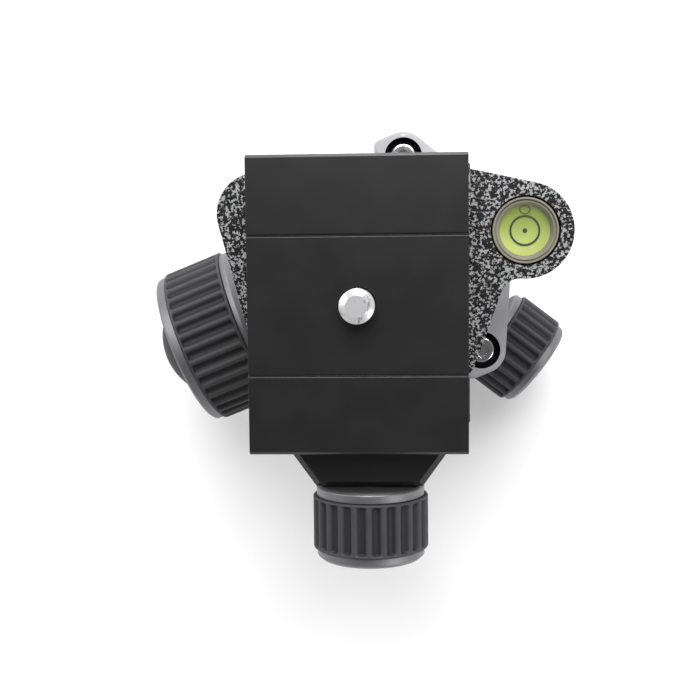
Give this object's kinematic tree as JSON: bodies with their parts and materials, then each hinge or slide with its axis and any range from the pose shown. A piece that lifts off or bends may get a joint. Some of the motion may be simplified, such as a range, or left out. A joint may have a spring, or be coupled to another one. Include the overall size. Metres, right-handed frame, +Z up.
{
  "type": "tripod ball head",
  "caption": "Off-centre tripod ball head with a screw-clamped quick-release plate, ribbed locking knobs and a bubble level.",
  "frame": {"origin": "centre of the foot on the pan axis, where the tripod screw enters", "axes": "+Z up along the pan axis, -Y to the front where the clamp knob is, +X to the right"},
  "size_m": [0.0906, 0.0835, 0.083],
  "materials": {
    "black_anodised": "satin black anodised",
    "speckled_casting": "speckled black and silver paint",
    "silver_paint": "light satin silver paint",
    "rubber": "ribbed matt rubber",
    "silver": "satin clear anodised",
    "steel": "bright zinc-plated steel",
    "ball_finish": "polished hard-anodised ball",
    "bronze": "plain bearing bronze",
    "nylon": "natural nylon",
    "dial_plastic": "matt black plastic",
    "level_cup": "pale moulded cup",
    "level_liquid": "yellow-green spirit",
    "level_bubble": "air bubble",
    "level_lens": "clear acrylic"
  },
  "bodies": {
    "foot": {"base": "black_anodised", "thread_insert": "steel", "pan_washer": "nylon", "retaining_disc": "steel", "retaining_screw": "steel"},
    "turntable": {"housing": "silver_paint", "housing_cap": "silver_paint", "cap_screws": "steel", "ball_seat": "nylon", "lock_bush": "bronze"},
    "lock_brake": {"lock_piston": "silver", "brake_pad": "nylon"},
    "lock_knob": {"lock_spindle": "steel", "lock_knob_core": "silver", "lock_knob_grip": "rubber"},
    "dial": {"friction_dial": "dial_plastic"},
    "pan_brake": {"pan_shoe": "bronze"},
    "pan_knob": {"pan_spindle": "steel", "pan_knob_core": "silver", "pan_knob_grip": "rubber"},
    "ball": {"ball": "ball_finish"},
    "stem": {"ball_stem": "black_anodised", "clamp_bolt": "steel"},
    "clamp": {"clamp_casting": "speckled_casting", "level_cup": "level_cup", "level_liquid": "level_liquid", "level_bubble": "level_bubble", "level_lens": "level_lens"},
    "jaw": {"moving_jaw": "black_anodised", "jaw_pins": "steel"},
    "clamp_knob": {"clamp_spindle": "steel", "clamp_knob_core": "silver", "clamp_knob_grip": "rubber"},
    "plate": {"camera_plate": "black_anodised", "plate_stops": "steel"},
    "camera_screw": {"camera_screw": "steel", "screw_clip": "steel"}
  },
  "joints": [
    {"name": "pan_turn", "type": "hinge", "parent": "foot", "child": "turntable", "pos_m": [0, 0, 0.012], "axis": [0, 0, 1], "continuous": true},
    {"name": "lock_travel", "type": "slide", "parent": "turntable", "child": "lock_brake", "axis": [-0.9285, -0.3714, 0], "range_m": [0, 0.0009375]},
    {"name": "lock_turn", "type": "hinge", "parent": "lock_brake", "child": "lock_knob", "pos_m": [-0.03361, -0.01344, 0.031], "axis": [-0.9285, -0.3714, 0], "range_deg": [0, 270]},
    {"name": "dial_turn", "type": "hinge", "parent": "lock_knob", "child": "dial", "pos_m": [-0.03361, -0.01344, 0.031], "axis": [-0.9285, -0.3714, 0], "range_deg": [0, 300]},
    {"name": "pan_lock_travel", "type": "slide", "parent": "turntable", "child": "pan_brake", "axis": [0.7934, -0.6088, 0], "range_m": [0, 0.001]},
    {"name": "pan_lock_turn", "type": "hinge", "parent": "pan_brake", "child": "pan_knob", "pos_m": [0.0238, -0.01826, 0.017], "axis": [0.7934, -0.6088, 0], "range_deg": [0, 360]},
    {"name": "ball_roll", "type": "hinge", "parent": "turntable", "child": "ball", "pos_m": [-0.00576, -0.0023, 0.035], "axis": [-0.5, 0.866, 0], "range_deg": [-24, 28]},
    {"name": "ball_drop", "type": "hinge", "parent": "ball", "child": "stem", "pos_m": [-0.00576, -0.0023, 0.035], "axis": [-0.866, -0.5, 0], "range_deg": [-25, 90]},
    {"name": "ball_spin", "type": "hinge", "parent": "stem", "child": "clamp", "pos_m": [-0.00576, -0.0023, 0.035], "axis": [0, 0, 1], "continuous": true},
    {"name": "jaw_travel", "type": "slide", "parent": "clamp", "child": "jaw", "axis": [0, -1, 0], "range_m": [0, 0.004]},
    {"name": "clamp_turn", "type": "hinge", "parent": "jaw", "child": "clamp_knob", "pos_m": [-0.00576, -0.0473, 0.0644], "axis": [0, -1, 0], "range_deg": [0, 1440]},
    {"name": "plate_slide", "type": "slide", "parent": "clamp", "child": "plate", "axis": [1, 0, 0], "range_m": [-0.008, 0.008]},
    {"name": "camera_screw_turn", "type": "hinge", "parent": "plate", "child": "camera_screw", "pos_m": [-0.00736, -0.0075, 0.078], "axis": [0, 0, 1], "continuous": true}
  ],
  "couplings": [
    {"joint": "lock_turn", "follows": "lock_travel", "rad_per_m": 5026.5},
    {"joint": "pan_lock_turn", "follows": "pan_lock_travel", "rad_per_m": 6283.2},
    {"joint": "clamp_turn", "follows": "jaw_travel", "rad_per_m": 6283.2}
  ]
}
